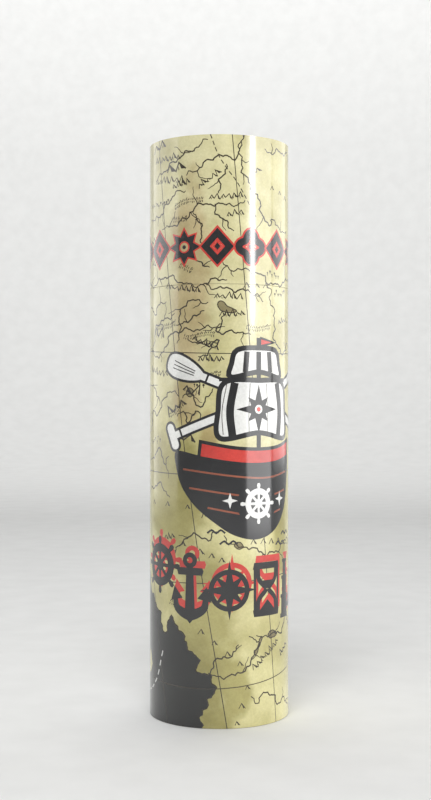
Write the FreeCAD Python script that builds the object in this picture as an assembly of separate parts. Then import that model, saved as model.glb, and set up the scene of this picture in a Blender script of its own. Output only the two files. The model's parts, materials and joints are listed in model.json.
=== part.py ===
import FreeCAD, Part

import math
import os

# Toy kaleidoscope in a printed paperboard tube, in millimetres.
#
# Frame: the origin is at the centre of the bottom rim, and +Z runs up the tube's axis.
# The tube stands on its eye end. The rotating end, with the object chamber and the
# frosted window, is on top. The front of the printed wrap faces -Y.

# Driving dimensions
TUBE_DIAMETER = 42.0        # over the printed wrap
TUBE_LENGTH = 171.0         # rim to rim
SLEEVE_LENGTH = 43.0        # rotating end
BOARD_THICKNESS = 1.5       # spiral-wound paperboard
WRAP_THICKNESS = 0.25       # laminated printed paper
WRAP_BASE_MARGIN = 0.1      # bare board between the wrap's edge and the bottom rim
PARTING_GAP = 0.1           # between the main tube and the rotating sleeve
RIM_EASING = 0.2            # rounding on cut board edges
RING_EASING = 0.2           # rounding on moulded rings
NECK_RUNNING_GAP = 0.06     # radial, between the neck's bearing layer and the sleeve
STOP_RUNNING_GAP = 0.08     # radial, between the neck tube and the sleeve's stop ring
STOP_SIDE_GAP = 0.35        # axial, on both sides of the stop ring
MIRROR_FACE_WIDTH = 25.0    # inner width of each side of the mirror triangle
MIRROR_THICKNESS = 1.2
MIRROR_OVERLAP = 1.2        # how far each strip covers the next one's edge
MIRROR_EDGE_GAP = 0.1       # between a strip's edge and the face that it meets
FOLDED_CARD_THICKNESS = 0.5
DISC_THICKNESS = 1.2        # clear and frosted plastic discs
PEEPHOLE_RADIUS = 5.0

# Radii of the wound tubes
OUTER_R = TUBE_DIAMETER / 2
BOARD_R = OUTER_R - WRAP_THICKNESS
BORE_R = BOARD_R - BOARD_THICKNESS
BEARING_R = BORE_R - NECK_RUNNING_GAP
NECK_R = 18.25
NECK_BORE_R = 17.25
STOP_BORE_R = NECK_R + STOP_RUNNING_GAP
DISC_R = BORE_R - 0.1

# Heights of the main tube and its eye end
SPLIT_Z = TUBE_LENGTH - SLEEVE_LENGTH
MAIN_TOP_Z = SPLIT_Z - PARTING_GAP / 2
SLEEVE_LOW_Z = SPLIT_Z + PARTING_GAP / 2
CAP_LOW_Z = 0.8
CAP_TOP_Z = 12.0
CAP_WALL = 1.25
CAP_RIM_R = 18.2            # where the cap's flat outer rim ends and the dish starts
DISH_OUTER_R = 17.2
DISH_OUTER_Z = 2.2
DISH_INNER_R = 8.0
DISH_INNER_Z = 3.7
LIP_R = 7.2                 # the raised lip round the peephole
LIP_Z = 2.5
LENS_LOW_Z = 5.0
LENS_THICKNESS = 1.0
LENS_RING_HEIGHT = 1.6
LENS_RING_BORE_R = 14.6
CENTRING_RING_LOW_Z = CAP_TOP_Z + 0.3
CENTRING_RING_HEIGHT = 8.0
MIRROR_LOW_Z = LENS_LOW_Z + LENS_THICKNESS + LENS_RING_HEIGHT + 0.4

# Heights of the neck, from below
NECK_LOW_Z = 88.0
BEARING_TOP_Z = 146.0
STOP_LOW_Z = BEARING_TOP_Z + STOP_SIDE_GAP
STOP_HEIGHT = 4.0
NECK_RING_LOW_Z = STOP_LOW_Z + STOP_HEIGHT + STOP_SIDE_GAP
NECK_RING_HEIGHT = 4.0
NECK_RING_R = BORE_R - 0.25
NECK_TOP_Z = NECK_RING_LOW_Z + NECK_RING_HEIGHT

# Heights of the object chamber, from the window down
WINDOW_RING_TOP_Z = TUBE_LENGTH - 1.6
WINDOW_RING_HEIGHT = 1.8
WINDOW_RING_BORE_R = 17.0
WINDOW_RING_EASING = 0.35
WINDOW_TOP_Z = WINDOW_RING_TOP_Z - WINDOW_RING_HEIGHT
WINDOW_LOW_Z = WINDOW_TOP_Z - DISC_THICKNESS
CHAMBER_HEIGHT = 7.0
CHAMBER_LOW_Z = WINDOW_LOW_Z - CHAMBER_HEIGHT
CHAMBER_R = BORE_R - 1.5
INNER_DISC_LOW_Z = CHAMBER_LOW_Z - DISC_THICKNESS
SEAT_LOW_Z = NECK_TOP_Z + 0.6
MIRROR_TOP_Z = INNER_DISC_LOW_Z - 0.5

# Loose pieces in the chamber
PIECE_COUNT = 22
PIECE_REST_GAP = 0.05       # so that the loose pieces don't touch the disc
PIECE_SPIRAL_STEP = 3.2
PIECE_TURN_STEP = 47.0      # degrees that each piece is turned from the one before
GOLDEN_ANGLE = math.radians(137.508)

CUT_REACH = 1.0             # how far a cutting solid stands out past what it cuts


def vector(x, y, z=0.0):
    return FreeCAD.Vector(x, y, z)


def turned(corners):
    """A solid of revolution about +Z. Each corner is (radius, height, rounding)."""
    count = len(corners)
    arcs = []
    for index, (radius, height, rounding) in enumerate(corners):
        here = vector(radius, 0, height)
        if rounding == 0:
            arcs.append((here, None, here))
            continue
        before = corners[index - 1]
        after = corners[(index + 1) % count]
        to_before = (vector(before[0], 0, before[1]) - here).normalize()
        to_after = (vector(after[0], 0, after[1]) - here).normalize()
        half_angle = to_before.getAngle(to_after) / 2
        reach = rounding / math.tan(half_angle)
        inward = (to_before + to_after).normalize()
        middle = here + inward * (rounding / math.sin(half_angle) - rounding)
        arcs.append((here + to_before * reach, middle, here + to_after * reach))
    edges = []
    for index, (start, middle, end) in enumerate(arcs):
        if middle is not None:
            edges.append(Part.Arc(start, middle, end).toShape())
        next_start = arcs[(index + 1) % count][0]
        edges.append(Part.LineSegment(end, next_start).toShape())
    face = Part.Face(Part.Wire(edges))
    return face.revolve(vector(0, 0), vector(0, 0, 1), 360)


def ring(outer_r, inner_r, low_z, high_z, easing=0.0):
    """A straight ring or tube, with its four rim edges eased."""
    return turned([
        (inner_r, low_z, easing),
        (outer_r, low_z, easing),
        (outer_r, high_z, easing),
        (inner_r, high_z, easing),
    ])


def disc(radius, low_z, thickness):
    return Part.makeCylinder(radius, thickness, vector(0, 0, low_z))


def turned_about_z(shape, degrees):
    copy = shape.copy()
    copy.rotate(vector(0, 0), vector(0, 0, 1), degrees)
    return copy


def prism(outline, low_z, height):
    """A straight prism on a closed outline of (x, y) corners."""
    points = [vector(x, y, low_z) for x, y in outline]
    wire = Part.makePolygon(points + [points[0]])
    return Part.Face(wire).extrude(vector(0, 0, height))


# Main tube and its eye end

def main_tube():
    return ring(BOARD_R, BORE_R, 0.0, MAIN_TOP_Z, RIM_EASING)


def main_wrap():
    return ring(OUTER_R, BOARD_R, WRAP_BASE_MARGIN, MAIN_TOP_Z)


def eye_cap():
    """A moulded plug: a skirt, a shallow dish, and a raised lip round the peephole."""
    skirt_r = BORE_R - CAP_WALL
    return turned([
        (BORE_R, CAP_LOW_Z, 0.4),
        (BORE_R, CAP_TOP_Z, 0.2),
        (skirt_r, CAP_TOP_Z, 0.2),
        (skirt_r, LENS_LOW_Z, 0.0),
        (PEEPHOLE_RADIUS, LENS_LOW_Z, 0.0),
        (PEEPHOLE_RADIUS, LIP_Z, 0.3),
        (LIP_R, LIP_Z, 0.5),
        (DISH_INNER_R, DISH_INNER_Z, 0.4),
        (DISH_OUTER_R, DISH_OUTER_Z, 0.8),
        (CAP_RIM_R, CAP_LOW_Z, 0.4),
    ])


def eye_lens():
    lens_gap = 0.1
    return disc(BORE_R - CAP_WALL - lens_gap, LENS_LOW_Z, LENS_THICKNESS)


def lens_ring():
    outer_r = BORE_R - CAP_WALL
    low_z = LENS_LOW_Z + LENS_THICKNESS
    return ring(outer_r, LENS_RING_BORE_R, low_z, low_z + LENS_RING_HEIGHT, RING_EASING)


# Mirrors. The strips form a pinwheel: each covers the edge of the next.

MIRROR_INNER_DISTANCE = MIRROR_FACE_WIDTH / (2 * math.sqrt(3))
MIRROR_OUTER_DISTANCE = MIRROR_INNER_DISTANCE + MIRROR_THICKNESS
SIDE_ANGLES = (0, 120, 240)


def mirror_strip(degrees):
    start_x = -MIRROR_FACE_WIDTH / 2 + MIRROR_EDGE_GAP
    width = MIRROR_FACE_WIDTH + MIRROR_OVERLAP - MIRROR_EDGE_GAP
    corner = vector(start_x, -MIRROR_OUTER_DISTANCE, MIRROR_LOW_Z)
    strip = Part.makeBox(width, MIRROR_THICKNESS, MIRROR_TOP_Z - MIRROR_LOW_Z, corner)
    return turned_about_z(strip, degrees)


def mirror_bundle_outline(margin):
    """A rounded outline that lies a margin outside the three strips."""
    half_width = MIRROR_FACE_WIDTH / 2
    end_x = half_width + MIRROR_OVERLAP
    side = [
        (-half_width, -MIRROR_OUTER_DISTANCE),
        (end_x, -MIRROR_OUTER_DISTANCE),
        (end_x, -MIRROR_INNER_DISTANCE),
    ]
    points = []
    for degrees in SIDE_ANGLES:
        angle = math.radians(degrees)
        for x, y in side:
            turned_x = x * math.cos(angle) - y * math.sin(angle)
            turned_y = x * math.sin(angle) + y * math.cos(angle)
            points.append(vector(turned_x, turned_y))
    return Part.makePolygon(points + [points[0]]).makeOffset2D(margin)


CARD_GAP = 0.1
CARD_END_INSET = 1.0        # how far the card stops short of the strips' ends
CARD_INNER_MARGIN = CARD_GAP
CARD_OUTER_MARGIN = CARD_GAP + FOLDED_CARD_THICKNESS
PAD_MARGIN = CARD_OUTER_MARGIN + 0.05


def bundle_prism(margin, low_z, high_z):
    """A solid of the mirror bundle's rounded outline."""
    solid = Part.Face(mirror_bundle_outline(margin)).extrude(vector(0, 0, high_z - low_z))
    solid.translate(vector(0, 0, low_z))
    return solid


def mirror_card():
    low_z = MIRROR_LOW_Z + CARD_END_INSET
    high_z = MIRROR_TOP_Z - CARD_END_INSET
    outer = bundle_prism(CARD_OUTER_MARGIN, low_z, high_z)
    inner = bundle_prism(CARD_INNER_MARGIN, low_z - CUT_REACH, high_z + CUT_REACH)
    return outer.cut(inner)


def centring_ring():
    """A card ring above the eye cap, with a hole of the mirror bundle's outline."""
    low_z = CENTRING_RING_LOW_Z
    high_z = low_z + CENTRING_RING_HEIGHT
    blank = disc(BORE_R, low_z, CENTRING_RING_HEIGHT)
    return blank.cut(bundle_prism(PAD_MARGIN, low_z - CUT_REACH, high_z + CUT_REACH))


def foam_pads():
    """Three pads that fill the space between the mirror bundle's sides and the neck."""
    depth = 2.0             # from the neck's top down to the pads
    height = 10.0
    width = 20.0
    low_z = NECK_TOP_Z - depth - height
    chord = MIRROR_OUTER_DISTANCE + PAD_MARGIN
    round_blank = disc(NECK_BORE_R, low_z, height)
    pads = []
    for degrees in SIDE_ANGLES:
        corner = vector(-width / 2, -OUTER_R, low_z)
        block = Part.makeBox(width, OUTER_R - chord, height, corner)
        pads.append(turned_about_z(round_blank.common(block), degrees))
    return Part.makeCompound(pads)


# Neck, on which the sleeve turns

def neck_tube():
    return ring(NECK_R, NECK_BORE_R, NECK_LOW_Z, NECK_TOP_Z, RIM_EASING)


def neck_bearing_layer():
    return ring(BEARING_R, NECK_R, NECK_LOW_Z, BEARING_TOP_Z, RIM_EASING)


def neck_ring():
    return ring(NECK_RING_R, NECK_R, NECK_RING_LOW_Z, NECK_TOP_Z, RING_EASING)


# Rotating sleeve with the object chamber

def sleeve_tube():
    return ring(BOARD_R, BORE_R, SLEEVE_LOW_Z, TUBE_LENGTH, RIM_EASING)


def sleeve_wrap():
    return ring(OUTER_R, BOARD_R, SLEEVE_LOW_Z, TUBE_LENGTH)


def sleeve_stop_ring():
    return ring(BORE_R, STOP_BORE_R, STOP_LOW_Z, STOP_LOW_Z + STOP_HEIGHT, RING_EASING)


def chamber_seat_ring():
    return ring(BORE_R, NECK_BORE_R, SEAT_LOW_Z, INNER_DISC_LOW_Z, RING_EASING)


def chamber_inner_disc():
    return disc(DISC_R, INNER_DISC_LOW_Z, DISC_THICKNESS)


def chamber_spacer_ring():
    return ring(BORE_R, CHAMBER_R, CHAMBER_LOW_Z, WINDOW_LOW_Z, RING_EASING)


def frosted_window():
    return disc(DISC_R, WINDOW_LOW_Z, DISC_THICKNESS)


def window_ring():
    bore_r = WINDOW_RING_BORE_R
    return ring(BORE_R, bore_r, WINDOW_TOP_Z, WINDOW_RING_TOP_Z, WINDOW_RING_EASING)


# Loose pieces. Each maker returns one piece that rests on z = 0 at the axis.

def regular_outline(corner_count, radius):
    outline = []
    for index in range(corner_count):
        angle = 2 * math.pi * index / corner_count
        outline.append((radius * math.cos(angle), radius * math.sin(angle)))
    return outline


def cut_stone():
    """A six-sided stone with a flat table, a girdle and a smaller base."""
    base_r = 0.9
    girdle_r = 2.3
    table_r = 1.3
    sections = []
    for radius, height in ((base_r, 0.0), (girdle_r, 1.5), (girdle_r, 1.9), (table_r, 2.9)):
        points = [vector(x, y, height) for x, y in regular_outline(6, radius)]
        sections.append(Part.makePolygon(points + [points[0]]))
    return Part.makeLoft(sections, True, True)


def triangle_chip():
    corner_r = 2.5
    thickness = 1.6
    return prism(regular_outline(3, corner_r), 0.0, thickness)


def glass_rod():
    length = 4.4
    radius = 0.9
    return Part.makeCylinder(radius, length, vector(-length / 2, 0, radius), vector(1, 0, 0))


def seed_bead():
    """A round bead with a hole, lying on its flat side."""
    hole_r = 0.55
    bead_r = 1.9
    height = 1.8
    return turned([
        (hole_r, 0.0, 0.2),
        (bead_r, 0.0, 0.75),
        (bead_r, height, 0.75),
        (hole_r, height, 0.2),
    ])


def square_chip():
    side = 3.0
    thickness = 1.4
    return Part.makeBox(side, side, thickness, vector(-side / 2, -side / 2, 0))


PIECE_MAKERS = {
    "red_stones": cut_stone,
    "blue_triangles": triangle_chip,
    "green_rods": glass_rod,
    "yellow_beads": seed_bead,
    "clear_chips": square_chip,
}


def loose_pieces():
    """Spread the pieces over the inner disc on a sunflower spiral, kinds in turn."""
    names = list(PIECE_MAKERS)
    groups = {name: [] for name in names}
    for index in range(PIECE_COUNT):
        name = names[(index * 3) % len(names)]
        piece = PIECE_MAKERS[name]()
        piece.rotate(vector(0, 0), vector(0, 0, 1), PIECE_TURN_STEP * index)
        distance = PIECE_SPIRAL_STEP * math.sqrt(index + 0.5)
        angle = GOLDEN_ANGLE * index
        height = CHAMBER_LOW_Z + PIECE_REST_GAP
        piece.translate(vector(distance * math.cos(angle), distance * math.sin(angle), height))
        groups[name].append(piece)
    return {name: Part.makeCompound(pieces) for name, pieces in groups.items()}


def build_nodes():
    nodes = {
        "main_tube": main_tube(),
        "main_wrap": main_wrap(),
        "eye_cap": eye_cap(),
        "eye_lens": eye_lens(),
        "lens_ring": lens_ring(),
        "mirror_card": mirror_card(),
        "centring_ring": centring_ring(),
        "foam_pads": foam_pads(),
        "neck_tube": neck_tube(),
        "neck_bearing_layer": neck_bearing_layer(),
        "neck_ring": neck_ring(),
        "sleeve_tube": sleeve_tube(),
        "sleeve_wrap": sleeve_wrap(),
        "sleeve_stop_ring": sleeve_stop_ring(),
        "chamber_seat_ring": chamber_seat_ring(),
        "chamber_inner_disc": chamber_inner_disc(),
        "chamber_spacer_ring": chamber_spacer_ring(),
        "frosted_window": frosted_window(),
        "window_ring": window_ring(),
    }
    for number, degrees in enumerate(SIDE_ANGLES, start=1):
        nodes[f"mirror_strip_{number}"] = mirror_strip(degrees)
    nodes.update(loose_pieces())
    return nodes


os.makedirs("parts", exist_ok=True)
for node_name, shape in build_nodes().items():
    for solid in shape.Solids:
        if not solid.isValid() or solid.Volume <= 0:
            raise ValueError(f"{node_name} has a bad solid")
    print(f"{node_name}: {len(shape.Solids)} solids, {shape.Volume:.1f} mm3")
    shape.exportStep(f"parts/{node_name}.step")
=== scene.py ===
import json
import math
import random

import bpy
import numpy as np
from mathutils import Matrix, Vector
from mathutils.geometry import delaunay_2d_cdt


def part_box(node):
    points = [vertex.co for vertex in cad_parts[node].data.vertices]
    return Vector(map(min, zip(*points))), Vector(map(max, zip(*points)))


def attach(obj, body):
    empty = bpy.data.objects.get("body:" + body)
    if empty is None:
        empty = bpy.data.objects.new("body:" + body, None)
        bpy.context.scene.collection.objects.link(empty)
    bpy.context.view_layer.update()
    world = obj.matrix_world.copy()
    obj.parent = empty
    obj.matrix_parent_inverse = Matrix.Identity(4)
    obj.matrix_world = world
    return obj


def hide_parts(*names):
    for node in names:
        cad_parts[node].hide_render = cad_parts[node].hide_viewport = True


# Looks of the paper tube kaleidoscope. The printed wraps are built here, with their
# artwork as real areas of ink in the mesh. The other visible parts are the CAD nodes
# with procedural materials.

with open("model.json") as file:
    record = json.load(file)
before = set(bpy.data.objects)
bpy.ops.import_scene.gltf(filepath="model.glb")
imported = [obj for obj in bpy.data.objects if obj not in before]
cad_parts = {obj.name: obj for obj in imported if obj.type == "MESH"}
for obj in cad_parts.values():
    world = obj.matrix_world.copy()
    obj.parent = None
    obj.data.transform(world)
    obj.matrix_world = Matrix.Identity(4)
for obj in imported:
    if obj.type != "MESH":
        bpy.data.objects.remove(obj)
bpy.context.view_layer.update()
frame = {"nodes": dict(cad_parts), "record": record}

MM = 0.001


# ---------------------------------------------------------------- stage

CAMERA_DISTANCE = 0.383
CAMERA_HEIGHT = 0.0946
CAMERA_SIDE = -0.0011
LENS_MM = 56.7


def add_camera():
    data = bpy.data.cameras.new("camera")
    data.lens = LENS_MM
    data.sensor_width = 36.0
    data.clip_start = 0.01
    camera = bpy.data.objects.new("camera", data)
    camera.location = (CAMERA_SIDE, -CAMERA_DISTANCE, CAMERA_HEIGHT)
    camera.rotation_euler = (math.radians(90), 0, 0)
    bpy.context.scene.collection.objects.link(camera)
    bpy.context.scene.camera = camera


def add_area_light(name, azimuth, distance, height, size, watts, aim=(0, 0, 0.11)):
    """A soft light at an azimuth, counted from the camera's side towards +X."""
    data = bpy.data.lights.new(name, "AREA")
    data.shape = "RECTANGLE"
    data.size, data.size_y = size
    data.energy = watts
    light = bpy.data.objects.new(name, data)
    angle = math.radians(azimuth)
    place = Vector((distance * math.sin(angle), -distance * math.cos(angle), height))
    light.location = place
    light.rotation_euler = (Vector(aim) - place).to_track_quat("-Z", "Y").to_euler()
    light.visible_camera = False
    bpy.context.scene.collection.objects.link(light)
    return light


def add_lights(floor):
    # These stand low, and give the upright streak and the sheen beside it. They don't
    # light the floor, where their lower edges would show as hard lines.
    low_lights = [
        add_area_light("softbox", 69, 0.50, 0.16, (0.46, 0.44), 1.6),
        add_area_light("strip", 55, 0.42, 0.26, (0.07, 0.24), 0.62),
        add_area_light("right_sheen", 118, 0.60, 0.24, (0.45, 0.40), 0.95),
        add_area_light("left_sheen", -104, 0.75, 0.20, (1.0, 0.5), 2.2),
    ]
    off_floor = bpy.data.collections.new("off_floor")
    off_floor.objects.link(floor)
    off_floor.collection_objects[0].light_linking.link_state = "EXCLUDE"
    for light in low_lights:
        light.light_linking.receiver_collection = off_floor
    # These stand high, where the tube doesn't mirror them.
    add_area_light("high_front", -8, 0.55, 0.85, (0.5, 0.5), 6.0, (-0.08, -0.28, 0))
    add_area_light("top", 180, 0.30, 0.95, (0.9, 0.6), 3.0)
    add_area_light("wall_wash", 180, 0.7, 1.1, (1.8, 0.5), 14.0, (0, 2.0, 1.0))
    world = bpy.data.worlds.new("studio")
    world.use_nodes = True
    background = world.node_tree.nodes["Background"]
    background.inputs["Color"].default_value = (0.94, 0.97, 1.0, 1.0)
    background.inputs["Strength"].default_value = 0.16
    bpy.context.scene.world = world
    bpy.context.scene.view_settings.view_transform = "Standard"


FLOOR_RADIUS = 1.25
FLOOR_SIDES = 96
BEND_RADIUS = 0.5
BEND_STEPS = 20
WALL_TOP = 2.2


def add_floor():
    """A pale round floor that curves up into a wall all round."""
    profile = [(FLOOR_RADIUS, 0.0)]
    for step in range(1, BEND_STEPS + 1):
        angle = math.pi / 2 * step / BEND_STEPS
        reach = FLOOR_RADIUS + BEND_RADIUS * math.sin(angle)
        profile.append((reach, BEND_RADIUS * (1 - math.cos(angle))))
    profile.append((FLOOR_RADIUS + BEND_RADIUS, WALL_TOP))
    vertices = [(0.0, 0.0, 0.0)]
    for reach, z in profile:
        vertices += [(x, y, z) for x, y in circle((0, 0), reach, FLOOR_SIDES)]
    faces = []
    for index in range(1, FLOOR_SIDES + 1):
        after = index % FLOOR_SIDES + 1
        faces.append((0, index, after))
        for row in range(len(profile) - 1):
            low = row * FLOOR_SIDES
            high = low + FLOOR_SIDES
            faces.append((low + index, high + index, high + after, low + after))
    card = grained("floor_card", (60.0, 3.0), (0.77, 0.77, 0.76), (0.81, 0.81, 0.8), 0.75)
    floor = add_object("floor", vertices, faces, [card])
    return floor


def add_object(name, vertices, faces, materials):
    """A smooth shaded object in the scene."""
    mesh = bpy.data.meshes.new(name)
    mesh.from_pydata(vertices, [], faces)
    mesh.polygons.foreach_set("use_smooth", [True] * len(faces))
    for material in materials:
        mesh.materials.append(material)
    made = bpy.data.objects.new(name, mesh)
    bpy.context.scene.collection.objects.link(made)
    return made


# ---------------------------------------------------------------- material tools

def linear(red, green, blue):
    """An 8-bit sRGB colour as the linear colour that a shader takes."""
    channels = []
    for value in (red, green, blue):
        share = value / 255
        if share <= 0.04045:
            channels.append(share / 12.92)
        else:
            channels.append(((share + 0.055) / 1.055) ** 2.4)
    return tuple(channels)


class Paint:
    """A principled material, with short ways to add nodes to it."""

    def __init__(self, name, roughness, **others):
        self.material = bpy.data.materials.new(name)
        self.material.use_nodes = True
        self.nodes = self.material.node_tree.nodes
        self.sockets = self.nodes["Principled BSDF"].inputs
        self.sockets["Roughness"].default_value = roughness
        for socket_name, value in others.items():
            self.sockets[socket_name.replace("_", " ")].default_value = value

    def put(self, value, socket):
        """Set a socket to a value, or link another node's output to it."""
        if isinstance(value, bpy.types.NodeSocket):
            self.material.node_tree.links.new(value, socket)
        else:
            socket.default_value = value

    def node(self, kind, inputs, **settings):
        """The outputs of a new node with these inputs and settings."""
        node = self.nodes.new("ShaderNode" + kind)
        for name, value in settings.items():
            setattr(node, name, value)
        for name, value in inputs.items():
            self.put(value, node.inputs[name])
        return node.outputs

    def place(self, stretch=(1, 1, 1)):
        """The place in the object, in metres, stretched per axis."""
        place = self.node("TexCoord", {})["Object"]
        return self.node("Mapping", {"Vector": place, "Scale": stretch})["Vector"]

    def noise(self, scale, detail=2.0, roughness=0.5, stretch=(1, 1, 1)):
        inputs = {"Scale": scale, "Detail": detail, "Roughness": roughness}
        return self.node("TexNoise", {"Vector": self.place(stretch), **inputs})["Fac"]

    def math(self, operation, *values):
        """A maths step on numbers and sockets."""
        return self.node("Math", dict(enumerate(values)), operation=operation)["Value"]

    def ramp(self, factor, dark, light, first=0.3, last=0.7):
        """From one linear colour to another, along a factor."""
        node = self.nodes.new("ShaderNodeValToRGB")
        start, end = node.color_ramp.elements
        start.position = first
        start.color = (*dark, 1.0)
        end.position = last
        end.color = (*light, 1.0)
        self.put(factor, node.inputs["Fac"])
        return node.outputs["Color"]

    def multiplied(self, share, first, second):
        """A share of the way from the first colour to its product with the second."""
        colours = {0: share, 6: first, 7: second}
        return self.node("Mix", colours, data_type="RGBA", blend_type="MULTIPLY")[2]

    def finished(self, colour, height=None, rise=0.0):
        """The material in its colour, with a bump of a height that rises so far."""
        self.put(colour, self.sockets["Base Color"])
        if height is not None:
            bump = self.node("Bump", {"Distance": rise, "Height": height})
            self.put(bump["Normal"], self.sockets["Normal"])
        return self.material


def grained(name, grain, dark, light, roughness, rise=0.0, **others):
    """A material with one grain, in its colour and in its bump."""
    paint = Paint(name, roughness, **others)
    shade = paint.noise(*grain)
    return paint.finished(paint.ramp(shade, dark, light), shade if rise else None, rise)


# ---------------------------------------------------------------- inks

GRAIN_SCALE = 1500.0        # print grain of about 0.7 mm
GRAIN_SHARE = 0.35
PATCH_SCALE = 62.0          # aged patches of about 16 mm

# Areas where the parchment's colour changes: degrees round the tube, height in mm, and half
# widths in degrees and mm. Some are brown, and the others pale or only dull. Besides stains,
# they hold painted shade and painted haze, as each list says.
# Brown stains. The one at -24 degrees and 130 mm, at the upper left, is painted shade: a darker
# tan strip.
BROWN_STAINS_AND_PAINTED_SHADE = [
    (-24, 130, 19, 30), (-27, 94, 13, 10), (-9, 84, 8, 9),
    (128, 114, 20, 14), (-178, 112, 16, 18), (104, 30, 14, 10), (-110, 136, 18, 8),
]
# Dull areas, darker and more olive. Some are stains. The large one at the lower front, at -12
# degrees and 22 mm, is partly printed tone and partly painted shade, darker towards the bottom.
DULL_STAINS_AND_PAINTED_SHADE = [
    (-12, 22, 30, 34), (-38, 68, 30, 22), (12, 12, 16, 10), (60, 60, 12, 20),
    (120, 70, 24, 30), (-170, 84, 26, 24), (150, 136, 20, 20),
]
# Pale, bluer areas: painted haze over the upper front and near the streak, and a pale area
# behind the tube.
PALE_STAINS_AND_PAINTED_HAZE = [(-10, 148, 85, 62), (30, 92, 30, 40), (150, 100, 60, 70)]
STAIN_AND_PAINTED_LIGHT_LAYERS = [
    # areas, the tint that multiplies the paper's colour there
    (PALE_STAINS_AND_PAINTED_HAZE, (1.03, 1.04, 1.22)),
    (DULL_STAINS_AND_PAINTED_SHADE, (0.62, 0.6, 0.42)),
    (BROWN_STAINS_AND_PAINTED_SHADE, (0.78, 0.68, 0.62)),
]


def stain_and_painted_light_mask(paint, tinted_areas, degrees, height):
    """0 off the areas and up to 1 on them, with ragged soft edges; the areas are stain marks,
    painted shade and painted haze.
    """
    ragged = paint.noise(95.0, 5.0, 0.6)
    total = None
    for centre_degrees, centre_height, half_degrees, half_height in tinted_areas:
        x = paint.math("SUBTRACT", degrees, centre_degrees)
        x = paint.math("DIVIDE", paint.math("WRAP", x, 180.0, -180.0), half_degrees)
        y = paint.math("DIVIDE", paint.math("SUBTRACT", height, centre_height), half_height)
        squares = []
        for share in (x, y):
            squares.append(paint.math("POWER", paint.math("ABSOLUTE", share), 2.0))
        inside = paint.math("SUBTRACT", 1.0, paint.math("ADD", *squares))
        total = inside if total is None else paint.math("MAXIMUM", total, inside)
    mask = paint.math("ADD", total, paint.math("MULTIPLY_ADD", ragged, 2.4, -1.2))
    limits = {"Value": mask, "From Min": -0.25, "From Max": 0.75}
    return paint.node("MapRange", limits, interpolation_type="SMOOTHSTEP")["Result"]


def with_stains_and_painted_light(paint, base):
    """The parchment's colour: the base with soft brown and dull marks, some of them painted
    shade, and pale areas, mostly painted haze.
    """
    split = paint.node("SeparateXYZ", {"Vector": paint.place()})
    angle = paint.math("ARCTAN2", split["X"], paint.math("MULTIPLY", split["Y"], -1.0))
    degrees = paint.math("MULTIPLY", angle, math.degrees(1))
    height = paint.math("MULTIPLY", split["Z"], 1 / MM)
    for tinted_areas, tint in STAIN_AND_PAINTED_LIGHT_LAYERS:
        mask = stain_and_painted_light_mask(paint, tinted_areas, degrees, height)
        shade = paint.ramp(mask, (1.0, 1.0, 1.0), tint, 0.0, 1.0)
        base = paint.multiplied(1.0, base, shade)
    return base


def printed_ink(name, dark, light):
    """Gloss laminated print that wavers between two 8-bit colours."""
    paint = Paint("print_" + name, 0.4, Specular_IOR_Level=0.15, Coat_Weight=1.0,
                  Coat_IOR=1.75, Coat_Roughness=0.13)
    patches = paint.noise(PATCH_SCALE, 4.0, 0.55)
    base = paint.ramp(patches, linear(*dark), linear(*light), 0.36, 0.64)
    # The paper gets its brown and dull marks, with painted shade and painted haze among them.
    if name == "paper":
        base = with_stains_and_painted_light(paint, base)
    grain = paint.noise(GRAIN_SCALE, 2.0, 0.7)
    speckle = paint.ramp(grain, (0.62, 0.62, 0.6), (1.0, 1.0, 1.0))
    colour = paint.multiplied(GRAIN_SHARE, base, speckle)
    return paint.finished(colour, paint.noise(240.0, 2.0, 0.4), 0.00005)


INKS = {
    "paper": ((178, 170, 112), (214, 207, 152)),
    "sea": ((10, 11, 10), (22, 23, 21)),
    "lake": ((118, 108, 74), (140, 130, 92)),
    "line": ((34, 28, 20), (58, 48, 32)),
    "black": ((8, 8, 12), (16, 16, 21)),
    "red": ((184, 46, 38), (208, 62, 52)),
    "white": ((214, 214, 212), (236, 236, 232)),
    "brown": ((128, 66, 46), (152, 86, 62)),
}


# ---------------------------------------------------------------- flat artwork
#
# The artwork is flat, in millimetres. x runs round the tube from its front, to the
# right, and y runs up it. Map features are given in degrees round the tube and
# millimetres up, and flat() turns them into flat places.

wrap_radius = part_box("main_wrap")[1].x / MM
MM_PER_DEGREE = math.radians(1) * wrap_radius
SEAM_DEGREES = 165.0        # where the paper's ends meet, behind the tube


def flat(points):
    """Flat places of points given in degrees round the tube and millimetres up it."""
    return np.array(points, float) * (MM_PER_DEGREE, 1.0)


def smooth(points, step=0.8, closed=False):
    """A Catmull-Rom curve through the given points, about one place per step."""
    knots = np.array(points, float)
    if closed:
        knots = np.vstack([knots[-1], knots, knots[0], knots[1]])
    else:
        first = 2 * knots[0] - knots[1]
        last = 2 * knots[-1] - knots[-2]
        knots = np.vstack([first, knots, last])
    spans = []
    for before, start, end, after in zip(knots, knots[1:], knots[2:], knots[3:]):
        count = max(2, round(float(np.linalg.norm(end - start)) / step))
        t = (np.arange(count) / count)[:, None]
        bend = 2 * before - 5 * start + 4 * end - after
        twist = 3 * start - before - 3 * end + after
        spans.append(0.5 * (2 * start + (end - before) * t + bend * t**2 + twist * t**3))
    if not closed:
        spans.append(knots[-2][None])
    return np.vstack(spans)


def across(path, closed=False):
    """Unit vectors to the left of a path, at each of its places."""
    if closed:
        along = np.roll(path, -1, 0) - np.roll(path, 1, 0)
    else:
        along = np.gradient(path, axis=0)
    along /= np.linalg.norm(along, axis=1)[:, None]
    return np.stack([-along[:, 1], along[:, 0]], 1)


WAVES = [(6.5, 1.0), (3.1, 0.6), (1.7, 0.35)]     # length, and share of the height
WANDER_STEP = 0.55


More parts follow.
